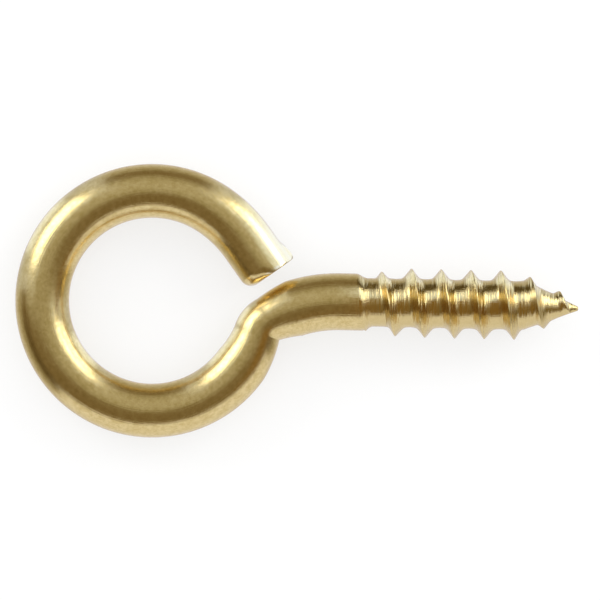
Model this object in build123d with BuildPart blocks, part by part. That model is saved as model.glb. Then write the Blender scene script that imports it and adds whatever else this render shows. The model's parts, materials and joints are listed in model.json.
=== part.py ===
from build123d import *
from math import atan2, ceil, cos, degrees, radians, sin, sqrt
import os

# A screw eye: one length of brass wire, bent round into an eye at one end, and
# threaded to a point at the other, so that it can be turned into wood by hand.
#
# Millimetres. The origin is the centre of the eye and +Z is the line through it.
# +X runs along the screw towards its point, and +Y is the side of the free end.
# Angles are in degrees, turned from +X towards +Y.

# ---- the wire and the eye
wire_dia = 3.36             # where it is bent, which stretches it a little
shank_dia = 3.54            # where it is left straight
eye_inside_dia = 10.26

# ---- the neck, a sharp bend back that brings the screw in line with the eye
neck_angle = 16.1           # how far below the X axis the eye turns into the neck
nip_thickness = 2.93        # what the bending tool leaves of the wire, across the bend
crease_radius = 0.03        # inside of the bend
nip_start_angle = 18        # the wire starts to thin this far before the neck
neck_exit_angle = 30        # how steeply the wire leaves the neck
nip_end_angle = 11          # how much more it turns before it is back to full thickness
screw_rise = 0.19           # the screw's axis passes this far above the eye's centre

# ---- the free end, which runs straight on towards the neck and leaves a gap
tail_angle = 36.5           # where on the eye the wire points as the straight end does
easing_angle = 21.5         # the last part of the bend is opened out over this angle
easing_radius = 8.06
eye_gap = 0.74              # between the end's inner corner and the neck
shear_spread = 0.17         # the shears push the end out by this much on the far side
spread_length = 1.3
shear_roll = 0.42           # and roll over the near corner with this radius

# ---- the screw
plain_length = 1.22         # straight wire between the neck and the thread
thread_length = 13.5        # from the end of the plain shank to the tip
pitch = 1.845               # right-hand, one start
crest_dia = 4.32
root_dia = 3.02
ridge_width = 0.92          # at its foot, so about half the pitch stays bare
ridge_angle = 113           # where it rises out of the shank, turned from +Y towards +Z
ridge_lead = 0.45           # it starts this far back, inside the shank
ridge_foot = 0.12           # and is rooted this deep in the core
shoulder_length = 0.95      # the shank tapers down to the root over this
runout_length = 2.6         # the ridge rises to its full height over this
point_length = 3.83
tip_dia = 0.16
ridge_stop = 0.3            # the ridge ends this far short of the tip

# ---- worked out from the sizes above
wire_r = wire_dia / 2
shank_r = shank_dia / 2
root_r = root_dia / 2
crest_r = crest_dia / 2
tip_r = tip_dia / 2
eye_r = eye_inside_dia / 2 + wire_r             # to the middle of the wire
bend_r = crease_radius + nip_thickness / 2      # the same, round the neck


def polar(centre, radius, angle):
    return Vector(*centre) + Vector(radius * cos(radians(angle)), radius * sin(radians(angle)))


def across(point, heading):
    """The plane square to the wire. Its own x points to the left of the heading."""
    left = polar((0, 0), 1, heading + 90)
    return Plane(origin=point, x_dir=left, z_dir=polar((0, 0), 1, heading))


# the neck turns back about a point outside the eye, then a gentle bow brings
# the wire up to the screw's axis just as it comes level
neck_turn = 90 - neck_angle - neck_exit_angle
neck_centre = polar((0, 0), eye_r + bend_r, -neck_angle)
neck_start = polar((0, 0), eye_r, -neck_angle)
nip_start = polar((0, 0), eye_r, -neck_angle - nip_start_angle)
neck_end = polar(neck_centre, bend_r, 90 + neck_exit_angle)
bow_r = (screw_rise - neck_end.Y) / (1 - cos(radians(neck_exit_angle)))
bow_centre = neck_end + Vector(
    bow_r * sin(radians(neck_exit_angle)), -bow_r * cos(radians(neck_exit_angle))
)
bow_full = polar(bow_centre, bow_r, 90 + neck_exit_angle - nip_end_angle)
bow_end = polar(bow_centre, bow_r, 90)

# the straight free end stops where its inner corner comes within eye_gap of the neck
easing_start = tail_angle + easing_angle
easing_centre = polar((0, 0), eye_r - easing_radius, easing_start)
tail_start = polar(easing_centre, easing_radius, tail_angle)
tail_way = polar((0, 0), 1, tail_angle - 90)
inner_edge = polar(tail_start, -wire_r, tail_angle) - neck_centre
clear_r = bend_r + nip_thickness / 2 + eye_gap
along = inner_edge.dot(tail_way)
tail_length = -along - sqrt(along**2 - inner_edge.dot(inner_edge) + clear_r**2)
tail_end = tail_start + tail_way * tail_length
spread_start = tail_end - tail_way * spread_length

# the screw
thread_start = bow_end.X + plain_length
shoulder_end = thread_start + shoulder_length
tip = thread_start + thread_length
point_start = tip - point_length
point_middle = tip - point_length / 2
ridge_end = tip - ridge_stop
ridge_height = crest_r - root_r
flank_slope = ridge_height / (ridge_width / 2)


def point_core(x):
    return tip_r + (root_r - tip_r) * (tip - x) / point_length


# the ridge's stations along the screw: x, then the radii of the core and the crest. Where it
# is at its full height they are no more than a turn apart, so each run of it is a short one.
runout_end = thread_start + runout_length
full_turns = ceil((point_start - runout_end) / pitch)
full_step = (point_start - runout_end) / full_turns
ridge_stations = [
    (thread_start - ridge_lead, root_r, shank_r - ridge_foot),
    *[(runout_end + turn * full_step, root_r, crest_r) for turn in range(full_turns + 1)],
    (point_middle, point_core(point_middle), point_core(point_middle) + ridge_height * 3 / 4),
    (ridge_end, point_core(ridge_end), point_core(ridge_end) + ridge_height / 6),
]


def ridge_section(x, core_r, ridge_r):
    """The ridge cut lengthways where it passes x: a triangle that stands on the core."""
    turned = ridge_angle + 360 * (x - thread_start) / pitch
    outwards = Vector(0, cos(radians(turned)), sin(radians(turned)))
    lengthways = Plane(
        origin=(x, screw_rise, 0), x_dir=(1, 0, 0), z_dir=Vector(1, 0, 0).cross(outwards)
    )
    foot_r = core_r - ridge_foot * ridge_r / crest_r
    half_foot = (ridge_r - foot_r) / flank_slope
    with BuildSketch(lengthways) as triangle:
        with BuildLine():
            Polyline((-half_foot, foot_r), (half_foot, foot_r), (0, ridge_r), close=True)
        make_face()
    return triangle.sketch


def ridge_run(first, last):
    """The ridge between two stations, carried along a helix that lies on the core."""
    start, start_r, _ = first
    end, end_r, _ = last
    taper = atan2(end_r - start_r, end - start)
    centre = (start, screw_rise, 0)
    helix = Helix(pitch / cos(taper), end - start, start_r, centre, (1, 0, 0), degrees(taper))
    # a new helix about +X starts on the +Z side, a quarter turn on from +Y
    turned = ridge_angle + 360 * (start - thread_start) / pitch - 90
    helix = helix.rotate(Axis(centre, (1, 0, 0)), turned)
    with BuildPart() as run:
        sweep([ridge_section(*first), ridge_section(*last)], helix, multisection=True, is_frenet=True)
    return run.part


ridge_runs = [ridge_run(first, last) for first, last in zip(ridge_stations, ridge_stations[1:])]

with BuildPart() as screw_eye:
    # the eye, from the straight free end round to where the wire starts to thin
    with BuildLine():
        Line(spread_start, tail_start)
        CenterArc(easing_centre, easing_radius, tail_angle, easing_angle)
        CenterArc((0, 0), eye_r, easing_start, 360 - easing_start - neck_angle - nip_start_angle)
    with BuildSketch(across(spread_start, tail_angle + 90)):
        Circle(wire_r)
    sweep()

    # the last of the free end, spread by the shears on the side away from the eye
    with BuildSketch(across(spread_start, tail_angle + 90)):
        Circle(wire_r)
    with BuildSketch(across(tail_end, tail_angle + 90)):
        with Locations((-shear_spread / 2, 0)):
            Ellipse(wire_r + shear_spread / 2, wire_r)
    loft()

    # the near corner of the cut, rolled over by the shears
    corner = polar(tail_end, -wire_r, tail_angle)
    with BuildSketch(Plane(origin=corner, x_dir=polar((0, 0), 1, tail_angle), z_dir=(0, 0, 1))):
        with BuildLine():
            CenterArc((shear_roll, shear_roll), shear_roll, 180, 90)
            Polyline(
                (shear_roll, 0),
                (shear_roll, -shear_roll),
                (-shear_roll, -shear_roll),
                (-shear_roll, shear_roll),
                (0, shear_roll),
            )
        make_face()
    extrude(amount=wire_dia, both=True, mode=Mode.SUBTRACT)

    # the end of the eye, pressed thinner towards the neck
    with BuildLine():
        CenterArc((0, 0), eye_r, -neck_angle - nip_start_angle, nip_start_angle)
    with BuildSketch(across(nip_start, 90 - neck_angle - nip_start_angle)):
        Circle(wire_r)
    with BuildSketch(across(neck_start, 90 - neck_angle)):
        Ellipse(nip_thickness / 2, wire_r)
    sweep(multisection=True)

    # the neck itself
    with BuildLine():
        CenterArc(neck_centre, bend_r, 180 - neck_angle, -neck_turn)
    with BuildSketch(across(neck_start, 90 - neck_angle)):
        Ellipse(nip_thickness / 2, wire_r)
    with BuildSketch(across(neck_end, neck_exit_angle)):
        Ellipse(nip_thickness / 2, wire_r)
    sweep(multisection=True)

    # the bow: back to full thickness, then up to the screw's axis
    with BuildLine():
        CenterArc(bow_centre, bow_r, 90 + neck_exit_angle, -nip_end_angle)
    with BuildSketch(across(neck_end, neck_exit_angle)):
        Ellipse(nip_thickness / 2, wire_r)
    with BuildSketch(across(bow_full, neck_exit_angle - nip_end_angle)):
        Circle(shank_r)
    sweep(multisection=True)
    with BuildLine():
        CenterArc(bow_centre, bow_r, 90 + neck_exit_angle - nip_end_angle, nip_end_angle - neck_exit_angle)
    with BuildSketch(across(bow_full, neck_exit_angle - nip_end_angle)):
        Circle(shank_r)
    sweep()

    # the plain shank, the shoulder down to the root of the thread, the core and its point
    with BuildSketch():
        with BuildLine():
            Polyline(
                (bow_end.X, screw_rise),
                (bow_end.X, screw_rise + shank_r),
                (thread_start, screw_rise + shank_r),
                (shoulder_end, screw_rise + root_r),
                (point_start, screw_rise + root_r),
                (tip, screw_rise + tip_r),
                (tip, screw_rise),
                close=True,
            )
        make_face()
    revolve(axis=Axis(bow_end, (1, 0, 0)))

    # the thread: a ridge that rises out of the shank, runs on, and dies out at the point
    add(ridge_runs)

screw_eye.part.label = "screw_eye"
os.makedirs("parts", exist_ok=True)
export_step(screw_eye.part, "parts/screw_eye.step")
size = screw_eye.part.bounding_box().size
print(f"tail {tail_length:.2f} mm, bow radius {bow_r:.2f} mm, tip at x = {tip:.2f} mm")
print(f"screw eye {size.X:.2f} x {size.Y:.2f} x {size.Z:.2f} mm, {screw_eye.part.volume:.1f} mm3")
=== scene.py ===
# %% [markdown]
# # A brass screw eye
# A screw eye is one length of brass wire. One end is bent round into an eye, and the
# other is threaded to a point, so that it can be turned into wood by hand. The packed
# part gives the real sizes, and everything here is drawn to them, in metres.

import json
from math import atan2, cos, degrees, pi, radians, sin, sqrt, tan

import bmesh
import bpy
import numpy as np
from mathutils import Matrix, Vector


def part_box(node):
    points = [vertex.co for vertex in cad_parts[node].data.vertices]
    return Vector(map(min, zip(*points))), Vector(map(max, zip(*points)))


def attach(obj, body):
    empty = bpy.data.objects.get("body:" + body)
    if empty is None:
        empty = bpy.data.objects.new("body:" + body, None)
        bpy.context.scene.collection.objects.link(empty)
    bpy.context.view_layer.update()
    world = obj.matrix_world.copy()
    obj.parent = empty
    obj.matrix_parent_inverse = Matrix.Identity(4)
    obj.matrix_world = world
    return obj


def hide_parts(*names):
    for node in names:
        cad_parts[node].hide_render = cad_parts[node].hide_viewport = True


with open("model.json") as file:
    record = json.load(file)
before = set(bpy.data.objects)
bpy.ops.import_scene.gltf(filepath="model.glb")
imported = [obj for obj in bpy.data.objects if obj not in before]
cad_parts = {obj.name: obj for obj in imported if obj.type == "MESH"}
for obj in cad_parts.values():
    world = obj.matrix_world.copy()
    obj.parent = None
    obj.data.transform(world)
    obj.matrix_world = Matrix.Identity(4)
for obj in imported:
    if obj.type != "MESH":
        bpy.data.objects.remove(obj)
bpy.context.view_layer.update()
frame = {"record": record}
packed_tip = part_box("screw_eye")[1].x
print(f"the packed part ends at x = {packed_tip * 1000:.2f} mm")

# %% [markdown]
# ## Sizes
# The eye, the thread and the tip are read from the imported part, and the other sizes are
# those that it was drawn from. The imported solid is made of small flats, which lie a
# little inside the true round. The mesh here is finer, so it is drawn a hair thinner,
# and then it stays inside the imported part.

# %% Sizes of the wire and the screw
mm = 0.001
hair = 0.006 * mm
mounts = {mount["name"]: mount for mount in frame["record"]["mounts"]}
eye_mount, thread_mount = mounts["eye"], mounts["thread"]
real_wire_dia = eye_mount["dims"]["length_mm"] * mm
wire_dia = real_wire_dia - 2 * hair
wire_r = wire_dia / 2
eye_r = eye_mount["dims"]["r_mm"] * mm + real_wire_dia / 2  # to the middle of the wire
shank_dia = 3.54 * mm
shank_r = shank_dia / 2
crest_r = thread_mount["dims"]["r_mm"] * mm - hair
root_r = 1.51 * mm
screw_rise = thread_mount["pos_m"][1]  # the screw's axis passes above the eye's centre
tip = packed_tip - hair
thread_start = packed_tip - thread_mount["dims"]["length_mm"] * mm
print(f"wire {wire_dia / mm:.2f} mm, thread from x = {thread_start / mm:.2f} mm")

# %% [markdown]
# ## Where the wire bends
# Seen from above, the middle of the wire is a chain of arcs: a gentle bow, a sharp bend
# back at the neck, the eye, and an easing where the eye opens out before the straight
# free end. Each arc starts where the last one stops and heads the same way. So a few
# sizes are enough, and the centres of the arcs are worked out from them.

# %% Centres of the bends
neck_angle = 16.1  # how far below the X axis the eye turns into the neck, in degrees
neck_exit_angle = 30  # how steeply the wire leaves the neck
neck_thickness = 2.93 * mm  # what the bending tool leaves of the wire, across the bend
crease_r = 0.03 * mm  # the inside of the neck is a sharp crease
bend_r = crease_r + neck_thickness / 2
easing_angle = 21.5  # the last of the eye is opened out to a larger bend over this
easing_r = 8.06 * mm
tail_angle = 36.5  # where on the eye the wire points as its free end does


def towards(angle):
    """A step of length 1 in that direction, in degrees from +X."""
    return Vector((cos(radians(angle)), sin(radians(angle)), 0))


def polar(centre, radius, angle):
    """The point at that radius and angle from a centre."""
    return Vector(centre) + radius * towards(angle)


eye_centre = Vector((0, 0, 0))
neck_centre = polar(eye_centre, eye_r + bend_r, -neck_angle)
neck_end = polar(neck_centre, bend_r, 90 + neck_exit_angle)
bow_r = (screw_rise - neck_end.y) / (1 - cos(radians(neck_exit_angle)))
bow_centre = polar(neck_end, bow_r, neck_exit_angle - 90)
easing_centre = polar(eye_centre, eye_r - easing_r, tail_angle + easing_angle)
print(f"the bow has a radius of {bow_r / mm:.2f} mm")

# %% [markdown]
# ## A pen that draws wire
# The real one starts as a straight wire, and a machine bends it round one pin after
# another. The mesh is made in the same way. A circle is the wire's end, and each
# stretch is pulled out of it: a straight one is an extrude, and a bend is a spin round
# the centre of that bend. Where the tool presses the wire thinner, the end is scaled a
# little at each step. A curve with a round bevel would be quicker, but it can't be
# pressed flat on two sides.

# %% The pen
join_x = thread_start - 0.6 * mm  # the wire is drawn from here, back to its free end


class Pen:
    """The open end of the wire: where it is, which way it heads and how thick it is."""

    at = Vector((join_x, screw_rise, 0))
    heading = 180.0  # in degrees from +X
    width = shank_dia  # across the wire, level with the eye
    height = shank_dia
    lengths = [0.0]  # how much wire was used up to each ring of vertices


print(f"the pen starts at x = {join_x / mm:.2f} mm, heading back along the shank")

# %% Pull the wire straight on, or press it
def straight(length, steps=1):
    """Pulls the wire straight on."""
    for _ in range(steps):
        move = length / steps * towards(Pen.heading)
        bpy.ops.mesh.extrude_edges_move(TRANSFORM_OT_translate={"value": move})
        Pen.at = Pen.at + move
        Pen.lengths.append(Pen.lengths[-1] + length / steps)


def press(width, height):
    """Scales the open end to a new width and height."""
    bpy.ops.transform.resize(
        value=(1, width / Pen.width, height / Pen.height),
        orient_type="GLOBAL",
        orient_matrix=(towards(Pen.heading), towards(Pen.heading + 90), (0, 0, 1)),
        orient_matrix_type="GLOBAL",
        center_override=Pen.at,
    )
    Pen.width, Pen.height = width, height


print("the pen can pull and press")

# %% Bend the wire
def bend(centre, angle, steps, width=None, height=None):
    """Bends the wire round a centre, to the left where the angle is positive."""
    radius = (Pen.at - centre).length
    start_width, start_height = Pen.width, Pen.height
    turned = radians(angle / steps)
    for step in range(1, steps + 1):
        # spin turns clockwise seen from above, so the angle changes sign
        bpy.ops.mesh.spin(steps=1, dupli=False, angle=-turned, center=centre, axis=(0, 0, 1))
        out = Pen.at - centre
        new_x = out.x * cos(turned) - out.y * sin(turned)
        new_y = out.x * sin(turned) + out.y * cos(turned)
        Pen.at = centre + Vector((new_x, new_y, 0))
        Pen.heading += angle / steps
        Pen.lengths.append(Pen.lengths[-1] + radius * abs(turned))
        if width:
            share = step / steps
            new_width = start_width + (width - start_width) * share
            press(new_width, start_height + (height - start_height) * share)


print("and it can bend")

# %% [markdown]
# ## The shank, the bow and the neck
# The pen starts in the plain shank, just short of the thread, and works back. The bow
# is a gentle bend, which lets the screw point at the middle of the eye. The neck is a
# sharp bend the other way, and there the tool nips the wire thinner. So the wire is
# pressed over the last of the bow, before the neck is bent.

# %% Draw the shank, the bow and the neck
around = 96  # vertices round the wire
nip_end_angle = 11  # the wire is thinned over this much of the bow


def deselect_all():
    """An operator acts on all that is selected, so each step starts from nothing."""
    if bpy.context.object and bpy.context.object.mode != "OBJECT":
        bpy.ops.object.mode_set(mode="OBJECT")
    bpy.ops.object.select_all(action="DESELECT")


deselect_all()
bpy.ops.mesh.primitive_circle_add(
    vertices=around, radius=shank_r, location=Pen.at, rotation=(0, pi / 2, 0)
)
wire = bpy.context.object
wire.name = "screw_eye_wire"
bpy.ops.object.transform_apply(location=True, rotation=True, scale=True)
bpy.ops.object.mode_set(mode="EDIT")
bpy.ops.mesh.select_all(action="SELECT")
straight(join_x - bow_centre.x, steps=2)
bend(bow_centre, neck_exit_angle - nip_end_angle, steps=10)
bend(bow_centre, nip_end_angle, steps=8, width=neck_thickness, height=wire_dia)
bend(neck_centre, 90 - neck_exit_angle - neck_angle, steps=24)
print(f"the neck ends {(Pen.at.length - eye_r) / mm:.3f} mm off the eye's circle")

# %% [markdown]
# ## The eye and the free end
# The eye is most of a turn, and the wire grows back to full thickness as it leaves the
# neck. The free end runs on straight. Its last part gets many rings of vertices, close
# together, because the shears leave their marks there. The rim of the cut is rounded,
# as every real edge is, so that it catches a thin line of light.

# %% Draw the eye and the free end
nip_start_angle = 18  # the wire is thinned over this much of the eye
tail_length = 2.48 * mm
burr_length = 1.4 * mm  # the shears leave their marks on the last of it
rim_r = 0.05 * mm
rim_step = 30  # the rim is a quarter round, drawn in three steps of this many degrees

bend(eye_centre, -nip_start_angle, steps=10, width=wire_dia, height=wire_dia)
bend(eye_centre, neck_angle + nip_start_angle + tail_angle + easing_angle - 360, steps=120)
bend(easing_centre, -easing_angle, steps=10)
straight(tail_length - burr_length - rim_r, steps=4)
burr_ring = len(Pen.lengths)
straight(burr_length, steps=36)
for slope in (rim_step, 2 * rim_step, 3 * rim_step):
    straight(rim_r * (sin(radians(slope)) - sin(radians(slope - rim_step))))
    rim_width = wire_dia - 2 * rim_r * (1 - cos(radians(slope)))
    press(rim_width, rim_width)
tail_end = Pen.at.copy()
bpy.ops.mesh.edge_face_add()
bpy.ops.object.mode_set(mode="OBJECT")
print(f"the wire is {Pen.lengths[-1] / mm:.1f} mm long, with {len(wire.data.vertices)} vertices")

# %% [markdown]
# ## The marks of the shears
# Shears cut the free end off. On the side of the eye they roll its edge over, and on
# the far side they push a thin lip of metal out. Both are small moves of vertices that
# the wire already has: the roll draws them in behind a quarter round, and the lip
# pushes out the few that face straight away from the eye.

# %% The shapes of the lip and the roll
lip_height = 0.18 * mm
lip_end_r = 0.35 * mm  # the lip is rounded off at the cut
lip_foot = 12  # half its width at the foot, in degrees round the wire
roll_r = 0.75 * mm
roll_starts, roll_full = -0.3 * wire_r, 0.4 * wire_r  # across the wire, towards the eye


def smooth(value, start, end):
    """Goes from 0 at the start to 1 at the end, and is level at both."""
    share = np.clip((value - start) / (end - start), 0, 1)
    return share * share * (3 - 2 * share)


def lip_rise(before):
    """The lip's height that far before the cut, as a share of its full height."""
    if before < lip_end_r:
        return sqrt(1 - ((lip_end_r - before) / lip_end_r) ** 2)
    return sin(pi / 2 * (burr_length - before) / (burr_length - lip_end_r))


def roll_depth(before):
    """How far the roll draws the near edge in, that far before the cut."""
    return roll_r - sqrt(roll_r**2 - max(0, roll_r - before) ** 2)


print(f"the lip is {lip_height / mm:.2f} mm high, and the roll {roll_depth(0) / mm:.2f} mm deep")

# %% Roll the near edge and raise the lip
tail_out, tail_way = towards(tail_angle), towards(tail_angle - 90)
for vertex in list(wire.data.vertices)[burr_ring * around :]:
    off = vertex.co - tail_end
    before = min(burr_length, max(0, -off.dot(tail_way)))
    out, up = off.dot(tail_out), off.z
    round_wire = abs(degrees(atan2(up, out)))
    lip = lip_height * lip_rise(before) * max(0, 1 - round_wire / lip_foot)
    inwards = roll_depth(before) * smooth(-out, roll_starts, roll_full) / wire_r
    vertex.co += tail_out * (lip - out * inwards)
    vertex.co.z -= up * inwards
print(f"the cut end is at x = {tail_end.x / mm:.2f}, y = {tail_end.y / mm:.2f} mm")

# %% [markdown]
# ## Where each point was before bending
# A drawn wire carries fine lines along its length, and they bend with it. So each
# vertex remembers its place in the wire while it was still straight, and the brass
# draws its lines by that. The place is an attribute of the mesh, which stays with it.

# %% Remember the straight wire
def remember(piece, places):
    """Stores a place for each vertex, for the material to read."""
    layer = piece.data.attributes.new("straight", "FLOAT_VECTOR", "POINT")
    layer.data.foreach_set("vector", np.asarray(places, np.float32).ravel())


rings = len(Pen.lengths)
used = np.repeat(Pen.lengths, around)
section = np.array([[v.co.y - screw_rise, v.co.z] for v in wire.data.vertices[:around]])
places = np.column_stack([join_x - used, np.tile(section, (rings, 1))])
remember(wire, places)
print(f"{rings} rings of {around} vertices remember their place")

# %% [markdown]
# ## Bare metal and a painted highlight
# Brass deepens a little in colour once it is made, and fresh metal is paler. Here the cut
# has laid some bare at the very end. The far side of the free end is made paler too, as a
# painted highlight that carries its reflection out to the edge. A second attribute holds
# both for each vertex, from 0 to 1, and the brass is paler there.

# %% Mark the bare metal and the painted highlight
cut_depth = 0.3 * mm  # the cut bares this much all round
highlight_length = 4.2 * mm  # the painted highlight runs along the far side over this
highlight_starts, highlight_full = 0.35 * wire_r, 0.75 * wire_r  # across the wire, away from the eye

to_cut = Pen.lengths[-1] - used
cut_bares = 1 - smooth(to_cut, cut_depth / 2, cut_depth)
# painted highlight: the far side of the free end is made paler, fading out along it
painted_highlight = smooth(-places[:, 1], highlight_starts, highlight_full)
painted_highlight *= 1 - smooth(to_cut, 0.4 * highlight_length, highlight_length)
layer = wire.data.attributes.new("bare", "FLOAT", "POINT")
layer.data.foreach_set("value", np.maximum(cut_bares, painted_highlight).astype(np.float32))
print(f"the far side is bare over the last {highlight_length / mm:.1f} mm")

# %% [markdown]
# ## The thread
# A wood screw's thread is a sharp ridge on a slimmer core. The ridge is one helix, so
# the lines of the mesh should run along the helix too, or the crest would look like a
# saw. A Screw modifier does that: it winds a short line round the axis into a tube, one
# pitch for each turn. The tube's vertices then only move out or in to the radius that
# the core or the ridge has there.

# %% Rows of vertices across one pitch
pitch = 1.845 * mm
ridge_angle = 113  # where the ridge leaves the shank, turned from +Y towards +Z
# rows of vertices on each side of the crest, close together where the form turns
row_places = [0.03, 0.07, 0.13, 0.2, 0.27, 0.34, 0.4, 0.45, 0.5, 0.58, 0.7]
rows = sorted([0, *row_places, *[-place for place in row_places]])
rows = [-pitch / 2, *[row * mm for row in rows], pitch / 2]
print(f"{len(rows)} rows across {pitch / mm:.3f} mm")

# %% A short line, one pitch long
spare_turns = 2  # wound before the shank, and trimmed off again
first_crest = thread_start - pitch * ridge_angle / 360 - spare_turns * pitch

deselect_all()
bpy.ops.mesh.primitive_plane_add(size=1 * mm, location=(first_crest, screw_rise, 0))
thread = bpy.context.object
thread.name = "screw_eye_thread"
bpy.ops.object.mode_set(mode="EDIT")
bpy.ops.mesh.select_all(action="DESELECT")
mesh = bmesh.from_edit_mesh(thread.data)
for vertex in mesh.verts:
    vertex.select = vertex.co.y < 0
mesh.select_flush_mode()
bpy.ops.mesh.delete(type="VERT")
bpy.ops.mesh.select_all(action="SELECT")
bpy.ops.mesh.subdivide(number_cuts=len(rows) - 2)
bpy.ops.object.mode_set(mode="OBJECT")
line = sorted(thread.data.vertices, key=lambda vertex: vertex.co.x)
for vertex, row in zip(line, rows):
    vertex.co = (row, root_r, 0)
print(f"a line of {len(line)} vertices")

# %% Wind the line into a tube
steps_round = 96
turns = int((tip - join_x) / pitch) + spare_turns + 3  # and three more, past the tip
winding = thread.modifiers.new("Screw", "SCREW")
winding.axis = "X"
winding.angle = 2 * pi
winding.screw_offset = pitch
winding.iterations = turns
winding.steps = winding.render_steps = steps_round
bpy.ops.object.modifier_apply(modifier="Screw")
bpy.ops.object.transform_apply(location=True)
print(f"{turns} turns of {len(rows)} rows, {len(thread.data.vertices)} vertices")

# %% [markdown]
# ## Trimming the tube
# The modifier winds each turn as a strip of its own, so the strips are merged where
# they touch. The tube is then cut with two bisects. It stays open at the shank, where
# the wire will join it, and is filled at the tip. A boolean could cut it too, but a
# bisect leaves the rest of the mesh as it is.

# %% Trim the tube at the shank and at the tip
seam = 0.08 * mm  # left open between the tube and the wire, to be bridged
merge_distance = 0.002 * mm
cut = {"plane_no": (1, 0, 0), "threshold": 0.0001 * mm}

bpy.ops.object.mode_set(mode="EDIT")
bpy.ops.mesh.select_all(action="SELECT")
bpy.ops.mesh.remove_doubles(threshold=merge_distance)
bpy.ops.mesh.bisect(plane_co=(join_x + seam, 0, 0), clear_inner=True, **cut)
bpy.ops.mesh.select_all(action="SELECT")
bpy.ops.mesh.bisect(plane_co=(tip, 0, 0), clear_outer=True, use_fill=True, **cut)
bpy.ops.object.mode_set(mode="OBJECT")
print(f"trimmed to {len(thread.data.vertices)} vertices")

# %% [markdown]
# ## The core and the ridge
# The core tapers from the shank to the root of the thread, and again to the point. It
# swells a little on the point and ends blunt. The ridge rises out of the shank over the
# first turn and a half, and dies out on the point. Each is a radius that changes along
# the screw. Lists of a few places are enough for them, with straight lines between.

# %% How the core and the crest run along the screw
point_start = tip - 3.83 * mm
tip_r = 0.09 * mm
crest_line = [  # x, and the crest's radius there
    (thread_start - 0.45 * mm, shank_r - 0.12 * mm),
    (thread_start + 2.6 * mm, crest_r),
    (point_start, crest_r),
    (tip - 2.16 * mm, 1.43 * mm),
    (tip - 1.1 * mm, 0.98 * mm),
    (tip - 0.35 * mm, 0.27 * mm),
    (tip, tip_r),
]
point_line = [  # the same for the core on the point
    (join_x, shank_r),
    (tip - 4.3 * mm, shank_r),
    (tip - 3.35 * mm, root_r),
    (tip - 2.3 * mm, 1.11 * mm),
    (tip - 1.6 * mm, 0.84 * mm),
    (tip - 0.95 * mm, 0.53 * mm),
    (tip - 0.3 * mm, 0.25 * mm),
    (tip - 0.05 * mm, 0.15 * mm),
    (tip, tip_r),
]
print(f"the point is {(tip - point_start) / mm:.2f} mm long")

# %% Where each vertex is, round the screw and from the crest
thread_co = np.array([vertex.co for vertex in thread.data.vertices])
x, y, z = thread_co[:, 0], thread_co[:, 1] - screw_rise, thread_co[:, 2]
off_axis = np.hypot(y, z)
turned = np.degrees(np.arctan2(z, y))
from_crest = (x - thread_start) / pitch - (turned - ridge_angle) / 360
from_crest = (from_crest - np.round(from_crest)) * pitch
print(f"no vertex is further than {np.abs(from_crest).max() / mm:.2f} mm from a crest")

# %% The radius of the core
shoulder_start, shoulder_end = thread_start - 0.1 * mm, thread_start + 0.6 * mm
shoulder_lean = 0.22 * mm  # the die bites this much sooner on one side

shoulder = smooth(x + shoulder_lean * y / off_axis, shoulder_start, shoulder_end)
core = shank_r + (root_r - shank_r) * shoulder
core = np.minimum(core, np.interp(x, *zip(*point_line)))
print(f"the core tapers from {core.max() / mm:.2f} to {core.min() / mm:.2f} mm")

# %% The radius of the ridge
ridge_width = 0.92 * mm  # at its foot
crest_round = 0.02 * mm
point_flank = 0.6  # on the point the flanks are this much less steep
ridge_height = crest_r - root_r
flank_slope = ridge_height / (ridge_width / 2)

crest = np.interp(x, *zip(*crest_line))
slope = flank_slope * np.interp(x, [point_start, tip], [1, point_flank])
ridge = crest - slope * (np.sqrt(from_crest**2 + crest_round**2) - crest_round)
print(f"the flanks rise {flank_slope:.2f} mm in each mm")

# %% [markdown]
# ## From core to ridge
# Each vertex takes whichever of the two stands further out, with a hollow fillet
# between them. The fillet is what makes a rolled thread sparkle: every turn is a small
# hollow mirror. The dies also leave the surface a little uneven, and the point leans to
# one side. No operator can draw this, so the vertices are moved by a formula.

# %% Blend the core into the ridge
root_fillet = 0.22 * mm

height = np.clip(crest - core, 0, None)
fillet = root_fillet * np.minimum(1, height / ridge_height)
surface_r = (core + ridge + np.sqrt((core - ridge) ** 2 + fillet**2)) / 2
surface_r -= (np.sqrt(height**2 + fillet**2) - height) / 2
print(f"crest radius {surface_r.max() / mm:.2f} mm")

# %% Add the marks of the dies, and move the vertices
unevenness = 0.012 * mm  # half the depth of the marks, which only go inwards
wave_lengths = 0.31 * mm, 0.47 * mm  # two sets of waves cross, so that no mark repeats
tip_lean = 0.12 * mm
lean_length = 2.5 * mm  # the last of the point, which leans

first_waves = np.sin(x / wave_lengths[0] + 2 * np.radians(turned))
second_waves = np.sin(x / wave_lengths[1] - 3 * np.radians(turned))
marks = unevenness * (first_waves * second_waves - 1)
marks *= np.clip((x - thread_start) / pitch, 0, 1)
surface_r += marks * surface_r / crest_r
grow = surface_r / off_axis
lean = tip_lean * np.clip(1 - (tip - x) / lean_length, 0, 1)
shaped = np.column_stack([x, screw_rise + y * grow - lean, z * grow])
thread.data.vertices.foreach_set("co", shaped.ravel())
remember(thread, np.column_stack([x, y * grow, z * grow]))
print(f"{len(shaped)} vertices moved, the marks up to {-marks.min() / mm:.3f} mm deep")

# %% [markdown]
# ## One piece
# The tube and the wire are joined, and the narrow gap between them is bridged. The
# result has to be one closed skin, so its open edges are counted. Smooth shading hides
# the faces, but it stops at edges sharper than 40 degrees, such as the thread's crests.

# %% Join the wire and the thread
shade_angle = 40

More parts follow.
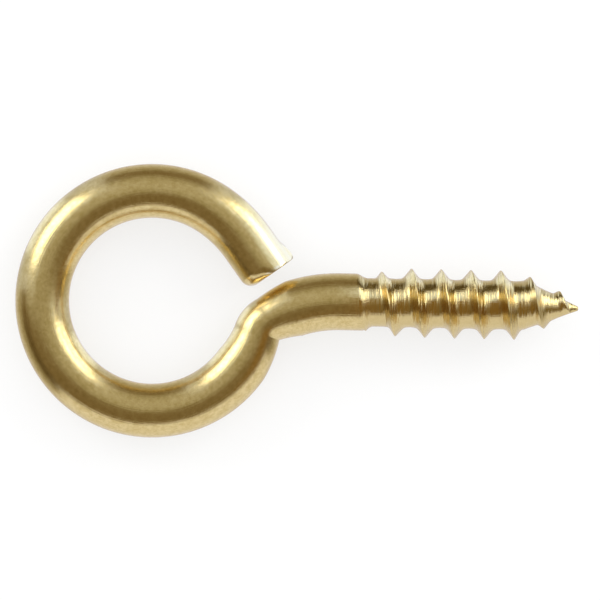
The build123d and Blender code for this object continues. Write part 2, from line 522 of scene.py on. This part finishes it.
deselect_all()
thread.select_set(True)
wire.select_set(True)
bpy.context.view_layer.objects.active = wire
bpy.ops.object.join()
screw_eye = wire
screw_eye.name = screw_eye.data.name = "screw_eye_wire"
bpy.ops.object.mode_set(mode="EDIT")
bpy.ops.mesh.select_mode(type="EDGE")
bpy.ops.mesh.select_all(action="DESELECT")
mesh = bmesh.from_edit_mesh(screw_eye.data)
for edge in mesh.edges:
    edge.select_set(edge.is_boundary and abs(edge.verts[0].co.x - join_x) < 2 * seam)
bpy.ops.mesh.bridge_edge_loops()
bpy.ops.mesh.select_all(action="SELECT")
bpy.ops.mesh.normals_make_consistent(inside=False)
mesh = bmesh.from_edit_mesh(screw_eye.data)
open_edges = sum(not edge.is_manifold for edge in mesh.edges)
deselect_all()
screw_eye.select_set(True)
bpy.context.view_layer.objects.active = screw_eye
bpy.ops.object.shade_smooth_by_angle(angle=radians(shade_angle))
print(f"{len(screw_eye.data.polygons)} faces, {open_edges} open edges")

# %% [markdown]
# ## Colours and nodes
# A colour is written as on a colour chart, in sRGB, but nodes work in linear light, so
# one function turns the one into the other. A material is a tree of nodes. One function
# adds a node, sets it and links it, so that a tree reads from its first node to its last.

# %% Helpers for materials
def linear(hex_colour):
    """An sRGB colour such as "E7CE89" as the linear values that nodes work in."""
    values = [int(hex_colour[i : i + 2], 16) / 255 for i in (0, 2, 4)]
    return [v / 12.92 if v <= 0.04045 else ((v + 0.055) / 1.055) ** 2.4 for v in values] + [1]


def add_node(tree, kind, settings=None, links=None, values=None):
    """Adds a node. Settings are its own, links join its inputs, values fill them."""
    node = tree.nodes.new(kind)
    for name, value in (settings or {}).items():
        setattr(node, name, value)
    for name, value in (values or {}).items():
        node.inputs[name].default_value = value
    for name, source in (links or {}).items():
        tree.links.new(source, node.inputs[name])
    return node


def new_material(name):
    """A material with no nodes yet, and its tree."""
    material = bpy.data.materials.new(name)
    material.use_nodes = True
    material.node_tree.nodes.clear()
    return material, material.node_tree


# a Mix node has sockets for each kind of value, and these are the numbers of its colour ones
first_colour, second_colour, mixed_colour = 6, 7, 2
print("helpers ready")

# %% [markdown]
# ## Drawn brass
# Yellow brass, about two parts copper to one of zinc, drawn through a die and tumbled
# bright. It is a metal, so all of its colour is in its reflections. Tumbling leaves an
# orange peel: soft dimples, which break up a reflection, and a colour that is a little
# deeper in some of them. It is laid on the straight wire with a noise texture.

# %% Colour and orange peel
peel_size = 0.4 * mm  # the real one is near 0.1 mm, drawn this coarse so that it shows
peel_starts, peel_full = 0.35, 0.7  # values of the noise between which the colour deepens

brass, tree = new_material("drawn_yellow_brass")
straight_place = add_node(
    tree, "ShaderNodeAttribute", {"attribute_name": "straight", "attribute_type": "GEOMETRY"}
)
peel = add_node(
    tree,
    "ShaderNodeTexNoise",
    links={"Vector": straight_place.outputs["Vector"]},
    values={"Scale": 1 / peel_size, "Detail": 2.0, "Roughness": 0.85},
)
mottle = add_node(
    tree,
    "ShaderNodeMapRange",
    links={"Value": peel.outputs["Fac"]},
    values={"From Min": peel_starts, "From Max": peel_full},
)
mottled = add_node(
    tree,
    "ShaderNodeMix",
    {"data_type": "RGBA"},
    links={"Factor": mottle.outputs["Result"]},
    values={first_colour: linear("EBD393"), second_colour: linear("DBC17C")},
)
print(f"orange peel of {peel_size / mm:.1f} mm")

# %% [markdown]
# ### Lines from drawing
# The die scores faint lines along the wire. They are noise that is stretched along the
# straight wire and squeezed across it, so they follow each bend. To the eye they are a
# slight change of gloss from line to line. Real ones are a few hundredths of a
# millimetre wide or less, and would not show.

# %% Draw lines and gloss
line_width = 0.06 * mm  # drawn about twice as wide as the real ones, so that they show
line_length = 4 * mm
lines_start, lines_full = 0.3, 0.75  # values of the noise between which the gloss changes
smoothest, roughest = 0.16, 0.26  # a tumbled metal's roughness

stretched = add_node(
    tree,
    "ShaderNodeMapping",
    links={"Vector": straight_place.outputs["Vector"]},
    values={"Scale": (1 / line_length, 1 / line_width, 1 / line_width)},
)
lines = add_node(
    tree,
    "ShaderNodeTexNoise",
    links={"Vector": stretched.outputs["Vector"]},
    values={"Scale": 1.0, "Detail": 3.0, "Roughness": 0.6},
)
gloss = add_node(
    tree,
    "ShaderNodeMapRange",
    links={"Value": lines.outputs["Fac"]},
    values={
        "From Min": lines_start,
        "From Max": lines_full,
        "To Min": smoothest,
        "To Max": roughest,
    },
)
print(f"draw lines {line_width / mm:.2f} mm wide")

# %% [markdown]
# ### Marks on the thread
# The thread is rolled between dies, and they leave short marks round the screw, which
# break its highlight into sparkles. They are the same noise, turned: narrow along the
# screw and long across it. The eye and the shank have none, so a value that goes from 0
# to 1 where the thread starts lets them in. It makes the thread a little glossier too,
# because rolling presses the metal smooth.

# %% Where the thread is
mark_fade = 0.3 * mm  # on each side of the thread's start

along = add_node(
    tree, "ShaderNodeSeparateXYZ", links={"Vector": straight_place.outputs["Vector"]}
)
threaded = add_node(
    tree,
    "ShaderNodeMapRange",
    links={"Value": along.outputs["X"]},
    values={"From Min": thread_start - mark_fade, "From Max": thread_start + mark_fade},
)
print(f"the marks come in over {2 * mark_fade / mm:.1f} mm")

# %% Tool marks
mark_width = 0.1 * mm  # drawn several times as wide as the real ones, so that they show
mark_length = 2.4 * mm

turned_place = add_node(
    tree,
    "ShaderNodeMapping",
    links={"Vector": straight_place.outputs["Vector"]},
    values={"Scale": (1 / mark_width, 1 / mark_length, 1 / mark_length)},
)
tool_marks = add_node(
    tree,
    "ShaderNodeTexNoise",
    links={"Vector": turned_place.outputs["Vector"]},
    values={"Scale": 1.0, "Detail": 2.0, "Roughness": 0.5},
)
print(f"tool marks {mark_width / mm:.2f} mm wide")

# %% Gloss of the wire and the thread
thread_gloss = 0.95  # times the roughness of the wire

rolled_gloss = add_node(
    tree,
    "ShaderNodeMapRange",
    links={"Value": threaded.outputs["Result"]},
    values={"To Min": 1.0, "To Max": thread_gloss},
)
roughness = add_node(
    tree,
    "ShaderNodeMath",
    {"operation": "MULTIPLY"},
    links={0: gloss.outputs["Result"], 1: rolled_gloss.outputs["Result"]},
)
print(f"the thread has {thread_gloss:.0%} of the wire's roughness")

# %% [markdown]
# ### Painted shade in the roots
# The roots of the thread are painted a deeper colour than the crests, as painted shade in
# the hollows between the flanks. How far a point is from the middle of the straight wire
# tells crest from root, and the value that lets the tool marks in keeps the change to
# the thread. Pointiness could find the roots too, but it depends on how fine the mesh is.

# %% Painted shade in the roots of the thread
# how much painted shade the crests and the roots each get
crest_shade, root_shade = 0.15, 0.75  # how much of the deeper colour each has

off_centre = add_node(
    tree,
    "ShaderNodeMapping",
    links={"Vector": straight_place.outputs["Vector"]},
    values={"Scale": (0, 1, 1)},
)
radius = add_node(
    tree, "ShaderNodeVectorMath", {"operation": "LENGTH"}, links={0: off_centre.outputs["Vector"]}
)
painted_root_shade = add_node(
    tree,
    "ShaderNodeMapRange",
    links={"Value": radius.outputs["Value"]},
    values={"From Min": crest_r, "From Max": root_r, "To Min": crest_shade, "To Max": root_shade},
)
root_shade_amount = add_node(
    tree,
    "ShaderNodeMath",
    {"operation": "MULTIPLY"},
    links={0: painted_root_shade.outputs["Result"], 1: threaded.outputs["Result"]},
)
# painted shade: the roots are mixed towards a deeper brass colour
root_shaded = add_node(
    tree,
    "ShaderNodeMix",
    {"data_type": "RGBA"},
    links={"Factor": root_shade_amount.outputs["Value"], first_colour: mottled.outputs[mixed_colour]},
    values={second_colour: linear("DEC688")},
)
print("the roots are deeper in colour")

# %% [markdown]
# ### Bare metal, painted highlight and relief
# Last, the paler colour of bare metal at the cut and of the painted highlight on the far
# side of the free end is mixed in where the attribute says so. The peel, the lines and the
# tool marks also tilt the surface a little. They do it as bumps, one on top of another,
# because they are far too shallow to be worth faces.

# %% Bare metal and painted highlight
bare_and_highlight_place = add_node(
    tree, "ShaderNodeAttribute", {"attribute_name": "bare", "attribute_type": "GEOMETRY"}
)
# paler brass: bare metal at the cut, and a painted highlight on the far side of the free end
bare_and_highlight = add_node(
    tree,
    "ShaderNodeMix",
    {"data_type": "RGBA"},
    links={"Factor": bare_and_highlight_place.outputs["Fac"], first_colour: root_shaded.outputs[mixed_colour]},
    values={second_colour: linear("ECDBAE")},
)
print("bare metal is paler")

# %% Relief
peel_depth, peel_strength = 0.012 * mm, 0.3
line_depth, line_strength = 0.01 * mm, 0.8
mark_depth = 0.065 * mm

peel_bump = add_node(
    tree,
    "ShaderNodeBump",
    links={"Height": peel.outputs["Fac"]},
    values={"Strength": peel_strength, "Distance": peel_depth},
)
line_bump = add_node(
    tree,
    "ShaderNodeBump",
    links={"Height": lines.outputs["Fac"], "Normal": peel_bump.outputs["Normal"]},
    values={"Strength": line_strength, "Distance": line_depth},
)
mark_bump = add_node(
    tree,
    "ShaderNodeBump",
    links={
        "Height": tool_marks.outputs["Fac"],
        "Normal": line_bump.outputs["Normal"],
        "Strength": threaded.outputs["Result"],
    },
    values={"Distance": mark_depth},
)
print("three bumps, one on top of another")

# %% Put the brass on the screw eye
shader = add_node(
    tree,
    "ShaderNodeBsdfPrincipled",
    links={
        "Base Color": bare_and_highlight.outputs[mixed_colour],
        "Roughness": roughness.outputs["Value"],
        "Normal": mark_bump.outputs["Normal"],
    },
    values={"Metallic": 1.0},
)
add_node(tree, "ShaderNodeOutputMaterial", links={"Surface": shader.outputs["BSDF"]})
screw_eye.data.materials.clear()
screw_eye.data.materials.append(brass)
print(f"the brass has {len(tree.nodes)} nodes")

# %% [markdown]
# ## The floor
# The screw eye lies on white paper, and touches it with the underside of the eye and
# with the crests of the thread. The crests stand out further than the wire is thick, so
# the paper is tilted by a degree instead of the part. The camera sees the paper mostly
# as plain white, and the rest of it lit, which keeps a faint shadow under the part.

# %% Lay the paper
paper_size = 6  # metres, so that its edge is far off in any view
rest_slope = (crest_r - wire_r) / (point_start + eye_r)

deselect_all()
bpy.ops.mesh.primitive_plane_add(size=paper_size)
floor = bpy.context.object
floor.name = "floor"
for vertex in floor.data.vertices:
    vertex.co.z = -wire_r - rest_slope * (vertex.co.x + eye_r)
print(f"the paper slopes by {degrees(rest_slope):.2f} degrees")

# %% White paper
plain_share = 0.7  # how much of the paper the camera sees as plain white


def seen_directly(tree):
    """Is 1 for a ray from the camera, or by way of metal or glass, and 0 for light."""
    path = add_node(tree, "ShaderNodeLightPath")
    seen = path.outputs["Is Camera Ray"]
    for ray in ("Is Glossy Ray", "Is Transmission Ray"):
        links = {0: seen, 1: path.outputs[ray]}
        seen = add_node(tree, "ShaderNodeMath", {"operation": "ADD"}, links).outputs["Value"]
    return seen


paper, tree = new_material("white_paper")
share = add_node(
    tree,
    "ShaderNodeMath",
    {"operation": "MULTIPLY"},
    links={0: seen_directly(tree)},
    values={1: plain_share},
)
lit = add_node(tree, "ShaderNodeBsdfDiffuse", values={"Color": linear("FCFCFC")})
plain = add_node(tree, "ShaderNodeEmission", values={"Color": linear("FFFFFF"), "Strength": 1.0})
paper_shader = add_node(
    tree,
    "ShaderNodeMixShader",
    links={0: share.outputs["Value"], 1: lit.outputs["BSDF"], 2: plain.outputs["Emission"]},
)
add_node(tree, "ShaderNodeOutputMaterial", links={"Surface": paper_shader.outputs["Shader"]})
floor.data.materials.append(paper)
floor.visible_glossy = False  # the underside of the tent stands for it there
print(f"the camera sees {plain_share:.0%} of the paper as plain white")

# %% [markdown]
# ## What the metal sees
# Polished metal shows its surroundings, so they are built as well. First comes a wide
# tent of cloth, lit unevenly. It is grey above and towards the far side, brown and dim
# on the near side, and pale below, where it stands for the paper. The paper itself is
# left out of the reflections, because it would be as bright in the far edge of the eye
# as in the near one. An image of a studio would do as well, but this needs no file.

# %% Raise the tent
tent_r = 0.9  # metres

deselect_all()
bpy.ops.mesh.primitive_uv_sphere_add(segments=48, ring_count=24, radius=tent_r)
tent = bpy.context.object
tent.name = "light_tent"
tent_cloth, tree = new_material("tent_cloth")
place = add_node(tree, "ShaderNodeTexCoord")
way = add_node(
    tree, "ShaderNodeVectorMath", {"operation": "NORMALIZE"}, links={0: place.outputs["Object"]}
)
axes = add_node(tree, "ShaderNodeSeparateXYZ", links={"Vector": way.outputs["Vector"]})
print(f"a tent {2 * tent_r:.1f} m wide")

# %% A band of brightness
def band(axis, points):
    """A brightness that follows one axis of the tent, from -1 to 1, through some points."""
    share = add_node(
        tree, "ShaderNodeMapRange", links={"Value": axes.outputs[axis]}, values={"From Min": -1.0}
    )
    curve = add_node(tree, "ShaderNodeFloatCurve", links={"Value": share.outputs["Result"]})
    spline = curve.mapping.curves[0]
    for _ in points[2:]:
        spline.points.new(0.5, 0.5)
    for point, (at, value) in zip(spline.points, points):
        point.location = ((at + 1) / 2, value)
    curve.mapping.update()
    return curve.outputs["Value"]


print("bands can be drawn")

# %% Light the tent
near_to_far = [(-1, 0.22), (-0.4, 0.22), (-0.17, 0.25), (0, 0.42), (0.2, 0.47), (0.4, 0.49)]
near_to_far += [(0.6, 0.48), (0.77, 0.42), (0.9, 0.38), (1, 0.36)]
low_to_high = [(-1, 1), (-0.1, 0.6), (0, 0.6), (0.3, 0.65), (0.5, 1), (1, 1)]
below = [(-1, 0.85), (-0.8, 0.7), (-0.5, 0.52), (-0.25, 0.36), (-0.05, 0.2), (0, 0), (1, 0)]
tints = [(0.2, "79694B"), (0.45, "B3B0A4"), (0.8, "E7E7F4")]  # dim cloth is browner

above = add_node(
    tree,
    "ShaderNodeMath",
    {"operation": "MULTIPLY"},
    links={0: band("Y", near_to_far), 1: band("Z", low_to_high)},
)
bright = add_node(
    tree,
    "ShaderNodeMath",
    {"operation": "MAXIMUM"},
    links={0: above.outputs["Value"], 1: band("Z", below)},
)
ramp = add_node(tree, "ShaderNodeValToRGB", links={"Fac": bright.outputs["Value"]})
ramp.color_ramp.elements[0].color = linear("000000")
ramp.color_ramp.elements[1].color = linear("FFFFFF")
for at, tint in tints:
    ramp.color_ramp.elements.new(at).color = linear(tint)
glow = add_node(tree, "ShaderNodeEmission", links={"Color": ramp.outputs["Color"]})
add_node(tree, "ShaderNodeOutputMaterial", links={"Surface": glow.outputs["Emission"]})
tent.data.materials.append(tent_cloth)
print(f"the cloth has {len(tree.nodes)} nodes")

# %% [markdown]
# ## Cards
# A card is a plain sheet held near the metal, which shows in it as a band. These stand
# upright round the part. A wide pale one on the near side lights the near edge of the
# wire, and two narrow bright ones carry the highlights down its sides. Behind them
# stand two wider and dimmer ones, the halos, so that the highlights fade out softly.

# %% How a card is made
def glowing(name, colour, brightness):
    """A material that only glows."""
    material, tree = new_material(name)
    values = {"Color": linear(colour), "Strength": brightness}
    glow = add_node(tree, "ShaderNodeEmission", values=values)
    add_node(tree, "ShaderNodeOutputMaterial", links={"Surface": glow.outputs["Emission"]})
    return material


def card(name, material, location, rotation, width, height):
    """A flat card with a glowing face."""
    deselect_all()
    bpy.ops.mesh.primitive_plane_add(size=1, location=location, rotation=rotation)
    piece = bpy.context.object
    piece.name = name
    piece.scale = (width, height, 1)
    bpy.ops.object.transform_apply(location=True, rotation=True, scale=True)
    piece.data.materials.append(material)
    return piece


def upright_card(name, material, distance, azimuth, half_angle, low, high):
    """A card that stands round the part. Its edges are angles seen from the part."""
    bottom, top = distance * tan(radians(low)), distance * tan(radians(high))
    centre = polar((0, 0, (bottom + top) / 2), distance, azimuth)
    turn = (pi / 2, 0, radians(azimuth - 90))
    return card(name, material, centre, turn, 2 * distance * tan(radians(half_angle)), top - bottom)


print("cards can be made")

# %% Cards round the part
card_distance = 0.3  # metres
halo_distance = 1.1 * card_distance

cool_white = glowing("cool_white_card", "D2E0FF", 1.75)
bright_white = glowing("bright_white_card", "D2E0FF", 1.8)
grey_white = glowing("grey_white_card", "E2E9FF", 0.85)
pale_white = glowing("white_card", "EEF0FF", 1.0)
near = {"azimuth": 282, "half_angle": 57, "low": -60, "high": 30}
right = {"azimuth": 38, "half_angle": 13, "low": -60, "high": -2}
left = {"azimuth": 147, "half_angle": 13, "low": -60, "high": -12}
behind_right = {"azimuth": 32, "half_angle": 32, "low": -60, "high": 57}
behind_left = {"azimuth": 145, "half_angle": 31, "low": -60, "high": 58}
cards = [
    upright_card("near_card", pale_white, card_distance, **near),
    upright_card("right_card", bright_white, card_distance, **right),
    upright_card("left_card", cool_white, card_distance, **left),
    upright_card("right_halo", grey_white, halo_distance, **behind_right),
    upright_card("left_halo", grey_white, halo_distance, **behind_left),
]
print(f"{len(cards)} cards stand round the part")

# %% [markdown]
# ### Cards for the thread
# Three small cards belong to the thread alone. A brown one and a bright strip lie over
# it, and a dark one stands beside it. They give its roots their brown middle, their
# broken highlight and their dark patches. The shank beside them hardly sees them.

# %% Cards over and beside the thread
def card_over_thread(name, material, low_y, high_y):
    """A card that lies level, a little above the thread."""
    start, end, above = thread_start, tip + 2 * mm, 12 * mm
    centre = ((start + end) / 2, (low_y + high_y) / 2, above)
    return card(name, material, centre, (0, 0, 0), end - start, high_y - low_y)


def card_beside_thread(name, material, beside, low_z, high_z):
    """A card that stands upright on the far side of the thread."""
    start, end = thread_start + 0.3 * mm, tip + 1 * mm
    centre = ((start + end) / 2, beside, (low_z + high_z) / 2)
    return card(name, material, centre, (pi / 2, 0, 0), end - start, high_z - low_z)


strip_white = glowing("strip_white_card", "CDDCFF", 1.5)
brown = glowing("brown_card", "866C40", 1.0)
dark = glowing("dark_flag", "564A2E", 1.0)
cards += [
    card_over_thread("brown_card", brown, low_y=-15 * mm, high_y=4 * mm),
    card_over_thread("bright_strip", strip_white, low_y=5 * mm, high_y=19 * mm),
    card_beside_thread("dark_flag", dark, beside=6 * mm, low_z=-0.5 * mm, high_z=3.1 * mm),
]
print(f"{len(cards)} cards in all")

# %% Let only reflections see the tent and the cards
for piece in [tent, *cards]:
    piece.visible_camera = piece.visible_diffuse = piece.visible_shadow = False
    piece.visible_transmission = piece.visible_volume_scatter = False
print(f"{1 + len(cards)} pieces are seen in the metal alone")

# %% [markdown]
# ## Lamps and sky
# Two softboxes stand at the far left and the far right, above the cards there. They
# give the eye its two long highlights, and with the white sky they light the paper.

# %% Softboxes
def softbox(name, azimuth, low, high, half_angle, radiance):
    """A rectangular lamp. Its edges are given as angles seen from the part."""
    data = bpy.data.lights.new(name, "AREA")
    data.shape = "RECTANGLE"
    data.size = 2 * card_distance * tan(radians(half_angle))
    data.size_y = 2 * card_distance * tan(radians(high - low) / 2)
    data.energy = radiance * pi * data.size * data.size_y
    lamp = bpy.data.objects.new(name, data)
    bpy.context.scene.collection.objects.link(lamp)
    height = radians(low + high) / 2
    lamp.location = polar(eye_centre, card_distance * cos(height), azimuth)
    lamp.location.z = card_distance * sin(height)
    lamp.rotation_euler = lamp.location.to_track_quat("Z", "Y").to_euler()
    lamp.visible_camera = False
    return data.energy


left_power = softbox("left_softbox", azimuth=145, low=7, high=42, half_angle=16, radiance=2.7)
right_power = softbox("right_softbox", azimuth=34, low=-2, high=43, half_angle=17, radiance=2.7)
print(f"softboxes of {left_power:.2f} W and {right_power:.2f} W")

# %% White sky
sky_light = 0.95  # what it lights the paper with, a little less than it looks

sky = bpy.data.worlds.new("white_sky")
bpy.context.scene.world = sky
sky.use_nodes = True
background = sky.node_tree.nodes["Background"]
background.inputs["Color"].default_value = linear("FFFFFF")
strength = add_node(
    sky.node_tree,
    "ShaderNodeMapRange",
    links={"Value": seen_directly(sky.node_tree)},
    values={"To Min": sky_light, "To Max": 1.0},
)
sky.node_tree.links.new(strength.outputs["Result"], background.inputs["Strength"])
print(f"a white sky of strength {sky_light}")

# %% [markdown]
# ## The camera
# It looks straight down with a long lens, so that near and far parts look the same
# size, and it is turned by about a degree.

# %% Camera
view_width = 37.2 * mm
view_centre = (9.17 * mm, 0.24 * mm)
view_turn = 1.22  # degrees
camera_height = 0.5  # metres

camera_data = bpy.data.cameras.new("camera")
camera_data.sensor_width = 36
camera_data.lens = camera_data.sensor_width * camera_height / view_width
camera_data.clip_start, camera_data.clip_end = 0.01, 10
camera = bpy.data.objects.new("camera", camera_data)
bpy.context.scene.collection.objects.link(camera)
camera.location = (*view_centre, camera_height)
camera.rotation_euler = (0, 0, radians(view_turn))
bpy.context.scene.camera = camera
bpy.context.scene.view_settings.view_transform = "Standard"
print(f"the view is {view_width / mm:.1f} mm wide")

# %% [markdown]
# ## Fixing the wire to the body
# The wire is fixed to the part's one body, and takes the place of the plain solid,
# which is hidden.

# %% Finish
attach(screw_eye, "root")
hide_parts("screw_eye")
